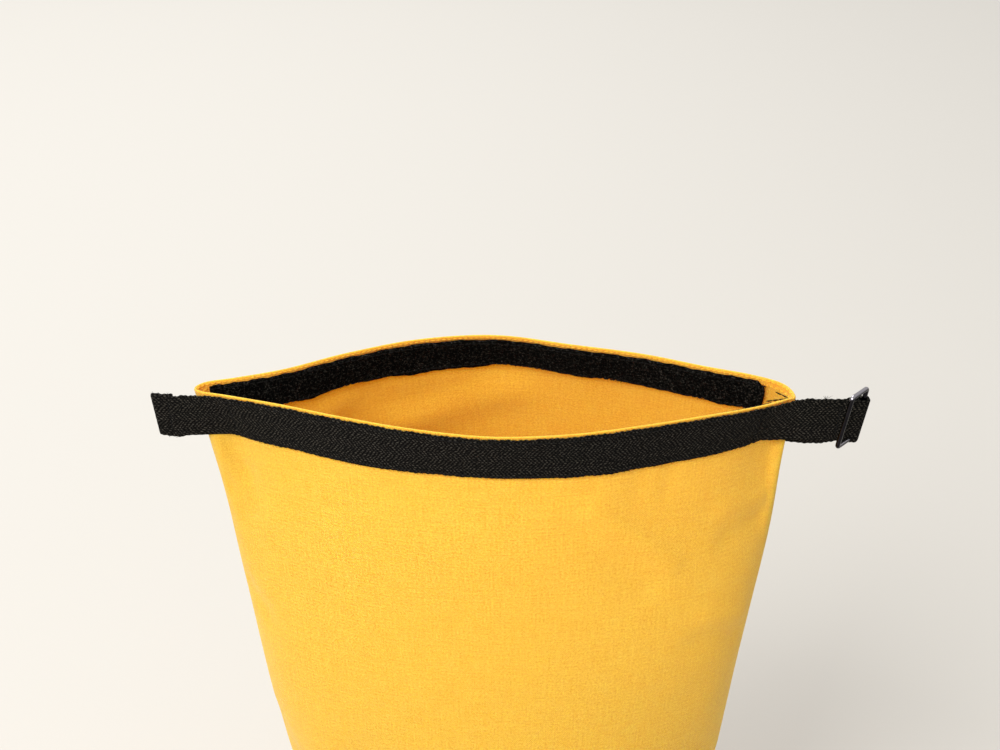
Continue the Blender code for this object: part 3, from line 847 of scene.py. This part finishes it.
class StrapPath:
    """Top and bottom edges of the whole webbing, from the left end's hem to the end behind the right corner.

    Each is the middle of the webbing's thickness. The marks are places of some stations by name."""

    def __init__(self):
        self.tops, self.bottoms, self.marks = [], [], {}
        self.add_left_end()
        self.marks["left_corner"] = len(self.tops)
        for angle in np.arange(LEFT_LEAVING, RIGHT_LEAVING + 0.1, 2.5):
            self.add_skin_point(angle)
        self.marks["right_corner"] = len(self.tops) - 1
        self.add_right_end()

    def add(self, top, bottom):
        self.tops.append(Vector(top))
        self.bottoms.append(Vector(bottom))

    def add_tab_point(self, fold_line, back, along, across, slant=(0, 0), climb=0.0, spread=0.0):
        turn = math.radians(back)
        side = math.copysign(1, fold_line.x)
        x = fold_line.x + side * (along * math.cos(turn) - across * math.sin(turn))
        y = fold_line.y + along * math.sin(turn) + across * math.cos(turn)
        z = fold_line.z + climb
        half = WEBBING_WIDTH / 2
        low = half + spread
        top = x + slant[0] * half, y + slant[1] * half, z + half
        self.add(top, (x - slant[0] * low, y - slant[1] * low, z - low))

    def add_skin_point(self, angle, sag=0.0):
        distance = GAP + WEBBING_THICKNESS / 2
        top = WEBBING_DROP + sag
        self.add(layer(angle, top, distance), layer(angle, top + WEBBING_WIDTH, distance))

    def add_left_end(self):
        end = LEFT_TAB_LENGTH - WEBBING_THICKNESS - GAP / 2
        lean = math.tan(math.radians(LEFT_TAB_SLANT))
        line = [(end - LEFT_HEM_LENGTH, 2 * PLY), (end - LEFT_HEM_LENGTH / 2, 2 * PLY), (end, 2 * PLY)]
        line += round_bend((end, PLY), PLY, range(60, -61, -30))
        row = end - LEFT_HEM_LENGTH + 0.002
        line += [(end, 0), (end - LEFT_HEM_LENGTH / 2, 0), (row, 0), (TAB_FLAT, 0), (0, 0)]
        self.marks["left_row"] = len(line) - 3
        self.marks["left_fold"] = len(line) - 1
        for along, across in line:
            sag = LEFT_TAB_SAG * float(smoothstep((along + TAB_FLAT) / (2 * TAB_FLAT)))
            slant = (-lean * min(along / end, 1), 0)
            self.add_tab_point(LEFT_FOLD, LEFT_TAB_BACK, along, across, slant, -sag)

    def add_right_end(self):
        bend = RING_WIRE / 2 + GAP + WEBBING_THICKNESS / 2
        end = RIGHT_TAB_LENGTH
        row = end - RIGHT_TAB_OPENING
        out = [(GAP, -PLY), (row / 2, -PLY), (row, -PLY), (end - TAB_FLAT, -(PLY + 3 * bend) / 4)]
        back = [(along, -across) for along, across in reversed(out)]
        self.marks["right_fold"] = len(self.tops)
        self.marks["right_row"] = len(self.tops) + 2
        for along, across in out + round_bend((end, 0), bend, range(-90, 91, 15)) + back[:-1]:
            self.add_loop_point(along, across, end)
        self.add_tab_point(RIGHT_FOLD, RIGHT_TAB_BACK, 0.001, 2 * PLY, climb=-RETURN_SAG)
        for angle in np.arange(2.5, RETURN_ANGLE + 0.1, 2.5):
            self.add_skin_point(angle, RETURN_SAG)

    def add_loop_point(self, along, across, end):
        bar = ring_turn() @ Vector((0, 0, 1))
        share = float(smoothstep((along - TAB_FLAT) / (end - TAB_FLAT)))
        slant = (share * bar.x / bar.z, share * bar.y / bar.z)
        reach = float(smoothstep(along / end))
        near = RETURN_SAG if across > 0 else -RIGHT_TAB_LIFT
        climb = share * RIGHT_TAB_CLIMB - near * (1 - reach) - RIGHT_TAB_SAG * reach
        self.add_tab_point(RIGHT_FOLD, RIGHT_TAB_BACK, along, across, slant, climb, share * RIGHT_TAB_SPREAD)


def ring_turn():
    """How the ring's bar, and the fold of webbing round it, stand off the upright."""
    return Matrix.Rotation(math.radians(RING_LEAN), 4, "X") @ Matrix.Rotation(math.radians(RING_TILT), 4, "Y")


class Strap:
    """The webbing as a smooth ribbon. A place on it is a run along it, a share across it and a height."""

    def __init__(self):
        path = StrapPath()
        tops, bottoms = np.array(path.tops), np.array(path.bottoms)
        run = lengths((tops + bottoms) / 2, 0)
        self.marks = {name: run[k] for name, k in path.marks.items()}
        self.length = run[-1]
        self.places, self.tops, self.bottoms = run, tops, bottoms

    def rail(self, values, run):
        return smooth_curve(self.places, values, run)

    def upright_rows(self):
        """Runs of the rows of stitches that go across the webbing."""
        left, right = self.marks["left_corner"] + CORNER_ROW, self.marks["right_corner"] - CORNER_ROW
        return left, right, self.marks["left_row"], self.marks["right_row"]

    def at(self, run, share, height):
        """Points of the webbing. Its middle follows the cloth between its two edges."""
        run, share, height = np.broadcast_arrays(*(np.asarray(v, float) for v in (run, share, height)))
        top, bottom = self.rail(self.tops, run), self.rail(self.bottoms, run)
        step = 0.0004
        ahead = self.rail(self.tops, run + step) + self.rail(self.bottoms, run + step)
        ahead = ahead - self.rail(self.tops, run - step) - self.rail(self.bottoms, run - step)
        normal = np.cross(bottom - top, ahead)
        normal = normal / np.linalg.norm(normal, axis=-1, keepdims=True)
        point = top * (1 - share[..., None]) + bottom * share[..., None]
        return point + normal * height[..., None]

    def normal(self, run, share):
        step = WEBBING_THICKNESS
        difference = self.at(run, share, step) - self.at(run, share, 0)
        return difference / step

    def piece(self, name, start, end, material):
        """Part of the webbing as a closed mesh with round, slightly scalloped edges."""
        runs = np.linspace(start, end, max(12, int((end - start) / 0.0006)))
        half = WEBBING_THICKNESS / 2
        drops, heights = slab_section(0, WEBBING_WIDTH, half, -half, 16, rounds=3)
        r, d = np.meshgrid(runs, drops, indexing="ij")
        share = d / WEBBING_WIDTH
        wave = np.sin(2 * np.pi * r / 0.0031) * 0.00022 + np.sin(2 * np.pi * r / 0.0083 + 1.0) * 0.00016
        wave = wave + np.sin(2 * np.pi * r / 0.023 + 2.2) * 0.00015
        edge = 2 * wave / WEBBING_WIDTH * np.where(share < 0.5, 1.0, np.cos(37 * r) * 0.9)
        share = 0.5 + (share - 0.5) * (1 + edge)
        ridge = 1 + 0.05 * np.sin(2 * np.pi * r / 0.0021) * np.sin(2 * np.pi * d / 0.0042)
        for groove in self.upright_rows():
            ridge = ridge - 0.8 * np.exp(-(((r - groove) / 0.0007) ** 2))
        return loft(name, self.at(r, share, heights * ridge), material, start=start)


def build_webbing(strap):
    left, right = strap.marks["left_corner"], strap.marks["right_corner"]
    parts = (
        ("webbing_left_end", 0, left, ["left_tab"], LEFT_FOLD, "left_end"),
        ("webbing_band", left, right, ["front_webbing"], None, "bag"),
        (
            "webbing_right_end", right, strap.length,
            ["right_tab", "webbing_return_end"], RIGHT_FOLD, "right_end",
        ),
    )
    for name, start, end, nodes, fold_line, body in parts:
        piece = strap.piece(name, start, end, webbing)
        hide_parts(*nodes)
        if fold_line is None:
            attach(piece, body)
        else:
            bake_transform(piece)


def build_webbing_stitches(strap):
    left, right = strap.marks["left_corner"], strap.marks["right_corner"]
    lift = WEBBING_THICKNESS / 2 + THREAD * 0.1
    rows = (
        ("webbing_top_stitches", "webbing_top_stitch", 0.08),
        ("webbing_low_stitches", "webbing_bottom_stitch", 0.92),
    )
    runs = np.arange(left + 0.004, right - 0.004, 0.001)
    for name, node, share in rows:
        points = strap.at(runs, share, lift)
        piece = stitches(name, [points], [strap.normal(runs, share)], black_thread)
        settle(piece, "bag", "black_thread", node)
    shares = np.linspace(0.16, 0.84, 24)
    uprights = (
        ("left_corner_stitches", "left_corner_stitch", "bag"),
        ("right_corner_stitches", "right_corner_stitch", "bag"),
        ("left_end_stitches", "left_tab_stitch", "left_end"),
        ("right_end_stitches", "right_tab_stitch", "right_end"),
    )
    for (name, node, body), run in zip(uprights, strap.upright_rows()):
        points = strap.at(run, shares, lift - GROOVE_DEPTH)
        piece = stitches(name, [points], [strap.normal(run, shares)], black_thread, length=0.0026)
        settle(piece, body, "black_thread", node)


def build_webbing_fuzz(strap):
    """Short fibres that stand off the webbing's edges, and one tuft on the top edge of the right end."""
    chance = np.random.default_rng(5)
    marks = strap.marks
    parts = (
        ("webbing_left_fuzz", 0.001, marks["left_fold"] - TAB_FLAT, "left_end"),
        ("webbing_band_fuzz", marks["left_corner"], marks["right_corner"], "bag"),
        ("webbing_right_fuzz", marks["right_fold"] + TAB_FLAT, marks["right_row"], "right_end"),
    )
    for name, start, end, body in parts:
        count = int((end - start) / FIBRE_PITCH)
        run = chance.uniform(start, end, count)
        share = chance.integers(0, 2, count)
        reach = chance.uniform(0.0004, 0.0010, count)
        if body == "right_end":
            tuft = marks["right_fold"] + TUFT_PLACE + chance.normal(size=TUFT_FIBRES) * 0.0003
            run, share = np.append(run, tuft), np.append(share, np.zeros(TUFT_FIBRES, int))
            reach = np.append(reach, chance.uniform(0.0012, 0.0022, TUFT_FIBRES))
        height = chance.uniform(-0.3, 0.3, len(run)) * WEBBING_THICKNESS
        root = strap.at(run, share, height)
        side = 2 * share - 1
        tip_run = run + chance.normal(size=len(run)) * reach * 0.6
        tip = strap.at(tip_run, share + side * reach / WEBBING_WIDTH, height)
        ups = strap.normal(run, share)
        fuzz = tubes(name, root, tip, ups, FIBRE, webbing_fibre, arch=FIBRE_ARCH, sides=3, rows=4)
        settle(fuzz, body, "webbing")


def build_loop_strip():
    """Strip of loop pile inside the rear: a fuzzy slab with loops of yarn standing out of it."""
    chance = np.random.default_rng(7)
    angles = np.arange(23.0, 165.1, 0.4)
    bottom = LOOP_STRIP_DROP + STRIP_WIDTH
    section = slab_section(LOOP_STRIP_DROP, bottom, -STRIP_FACE, -STRIP_BACK, 34, rounds=3)
    middle = LOOP_STRIP_DROP + STRIP_WIDTH / 2

    def ripple(a, d, h):
        shape = chance.random(a.shape) - 0.5
        edge = 0.00025 * np.sin(np.radians(a) * 47) + 0.00015 * np.sin(np.radians(a) * 113 + 1)
        low = np.clip((d - middle) / (STRIP_WIDTH / 2), 0, 1)
        sag = STRIP_SAG * np.exp(-(((a - STRIP_SAG_MIDDLE) / STRIP_SAG_REACH) ** 2))
        wave = 0.0006 * np.sin(np.radians(a) * 19 + 2) + 0.0004 * np.sin(np.radians(a) * 31)
        edge = edge + low * (sag + wave)
        inner = h < -(STRIP_FACE + STRIP_BACK) / 2
        from_end = np.minimum(a - angles[0], angles[-1] - a) / STRIP_END_TURN
        round_end = np.sqrt(1 - np.clip(1 - from_end, 0, 1) ** 2 * 0.75)
        cut = STRIP_CUT_DROP * np.clip(1 - (a - angles[0]) / STRIP_CUT_TURN, 0, 1)
        cut = cut * np.clip((middle - d) / (STRIP_WIDTH / 2), 0, 1)
        drops = middle + (d - middle) * round_end + cut + edge + shape * 0.00012
        return drops, h + np.where(inner, shape * 0.0004, 0)

    strip = sewn_layer("loop_strip_backing", angles, section, pile, ripple=ripple)
    settle(strip, "bag", "closure_strip", "loop_strip")
    run = float(lengths(layer(angles, LOOP_STRIP_DROP + STRIP_WIDTH / 2, -STRIP_BACK), 0)[-1])
    count = PILE_LOOPS
    angle = chance.uniform(angles[0], angles[-1], count)
    drop = LOOP_STRIP_DROP + STRIP_WIDTH * np.clip(chance.uniform(-0.03, 0.98, count), 0, 1)
    face = layer(angle, drop, -STRIP_BACK + 0.0002)
    inward = -outward(skin, angle, drop)
    lean = chance.normal(size=(count, 3))
    lean = lean - (lean * inward).sum(1, keepdims=True) * inward
    lean = lean / np.linalg.norm(lean, axis=1, keepdims=True) * chance.uniform(0.0004, 0.0010, (count, 1))
    starts, ends = face - lean / 2, face + lean / 2
    loops = tubes("loop_pile", starts, ends, inward, 0.00009, pile, arch=0.0006, sides=3, rows=5)
    settle(loops, "bag", "closure_strip")


def build_hook_strip():
    """Strip inside the front with rows of small bent hooks."""
    angles = np.arange(LEFT_LEAVING, RIGHT_LEAVING + 0.1, 0.9)
    back = -STRIP_BACK + HOOK_STRIP_THINNER
    section = slab_section(STRIP_DROP, STRIP_DROP + STRIP_WIDTH, -STRIP_FACE, back, 10, rounds=2)
    strip = sewn_layer("hook_strip_backing", angles, section, webbing)
    settle(strip, "bag", "closure_strip", "hook_strip")
    run = float(lengths(layer(angles, STRIP_DROP + STRIP_WIDTH / 2, -STRIP_BACK), 0)[-1])
    columns, rows = int(run / 0.0018), 10
    angle = np.repeat(np.linspace(angles[0] + 0.4, angles[-1] - 0.4, columns), rows)
    drop = np.tile(np.linspace(STRIP_DROP + 0.0025, STRIP_DROP + STRIP_WIDTH - 0.0025, rows), columns)
    base = layer(angle, drop, back + 0.0001)
    inward = -outward(skin, angle, drop)
    down = np.broadcast_to(np.array((0, 0, -1.0)), base.shape)
    tips = base + inward * 0.0008 + down * 0.0005
    hooks = tubes("hooks", base, tips, -down, 0.00012, pile, arch=0.0003, sides=4)
    settle(hooks, "bag", "closure_strip")


def skin_row(start, end, drop, distance):
    """Points along a row on the bag, with the directions in which they stand off it."""
    angles = np.arange(start, end + 0.01, 0.5)
    drops = np.full(len(angles), drop)
    side = 1 if distance > 0 else -1
    return layer(angles, drops, distance), outward(skin, angles, drops) * side


def build_closure_stitches():
    strips = (
        ("loop_strip", LOOP_STRIP_DROP, 22.5, 165, 0.0),
        ("hook_strip", STRIP_DROP, 203, 337, HOOK_STRIP_THINNER),
    )
    for strip, top, start, end, thinner in strips:
        rows = (
            ("top", "top", top + STRIP_STITCH_EDGE),
            ("low", "bottom", top + STRIP_WIDTH - STRIP_STITCH_EDGE),
        )
        for row, node, drop in rows:
            points, ups = skin_row(start, end, drop, -STRIP_BACK + thinner - THREAD * 0.2)
            piece = stitches(f"{strip}_{row}_stitches", [points], [ups], black_thread)
            settle(piece, "bag", "black_thread", f"{strip}_{node}_stitch")


def build_hem_stitches():
    """Yellow rows round the inside of the rim, one near its edge and one that only shows at the corners."""
    face = -HEM_INSIDE - THREAD * 0.05
    hems = (
        ("rear", ((0.3, 179.7, HEM_ROW), (0.3, 27.5, HEM_CORNER_ROW), (165.5, 179.7, HEM_CORNER_ROW))),
        ("front", ((180.3, 359.7, HEM_ROW), (180.3, 202, HEM_CORNER_ROW), (338, 359.7, HEM_CORNER_ROW))),
    )
    for side, runs in hems:
        points, ups = zip(*(skin_row(start, end, drop, face) for start, end, drop in runs))
        piece = stitches(f"{side}_hem_stitches", points, ups, yellow_thread, length=0.0024, radius=0.0003)
        settle(piece, "bag", "cloth_thread", f"{side}_hem_stitch")


def build_corner_thread():
    """Black thread that shows inside the right corner."""
    face = -HEM_INSIDE - THREAD * 0.05
    last = len(CORNER_THREAD) - 1
    way = np.linspace(0, last, 60)
    angles, drops = (np.interp(way, range(last + 1), values) for values in zip(*CORNER_THREAD))
    line, ups = layer(angles, drops, face), -outward(skin, angles, drops)
    piece = stitches(
        "corner_thread_inside", [line], [ups], black_thread, length=0.0040, gap=0.00005, radius=0.00036
    )
    settle(piece, "bag", "black_thread")


def build_ring():
    """Rectangular ring of round wire with bent corners. One long bar is its axis, in the webbing's loop."""
    half_length = (RING_INNER_LENGTH + RING_WIRE) / 2
    width = RING_INNER_WIDTH + RING_WIRE
    corners = (
        (0, -RING_CORNER, half_length - RING_CORNER),
        (90, -width + RING_CORNER, half_length - RING_CORNER),
        (180, -width + RING_CORNER, -half_length + RING_CORNER),
        (270, -RING_CORNER, -half_length + RING_CORNER),
    )
    path = []
    for start, x, z in corners:
        for k in range(9):
            turn = math.radians(start + 90 * k / 8)
            path.append(Vector((x + RING_CORNER * math.cos(turn), 0, z + RING_CORNER * math.sin(turn))))
    sides = 24
    rings = []
    for k, point in enumerate(path):
        heading = (path[(k + 1) % len(path)] - path[k - 1]).normalized()
        across = Vector((0, 1, 0))
        beside = heading.cross(across)
        turns = [2 * math.pi * s / sides for s in range(sides)]
        rings.append([point + (across * math.cos(t) + beside * math.sin(t)) * RING_WIRE / 2 for t in turns])
    stand_off = Matrix.Rotation(math.radians(RIGHT_TAB_BACK + RING_STAND_OFF), 4, "Z")
    place = Matrix.Translation(RING_CENTRE) @ ring_turn() @ stand_off
    points = np.array([[place @ p for p in ring] for ring in rings])
    ring = loft("wire_ring", points, gunmetal, wrap=True)
    settle(ring, "metal_ring", "ring_metal", "ring")


build_camera()
build_surroundings()
build_cloth()
build_base()
build_tapes()
strap = Strap()
build_webbing(strap)
build_webbing_stitches(strap)
build_webbing_fuzz(strap)
build_loop_strip()
build_hook_strip()
build_closure_stitches()
build_hem_stitches()
build_corner_thread()
build_ring()
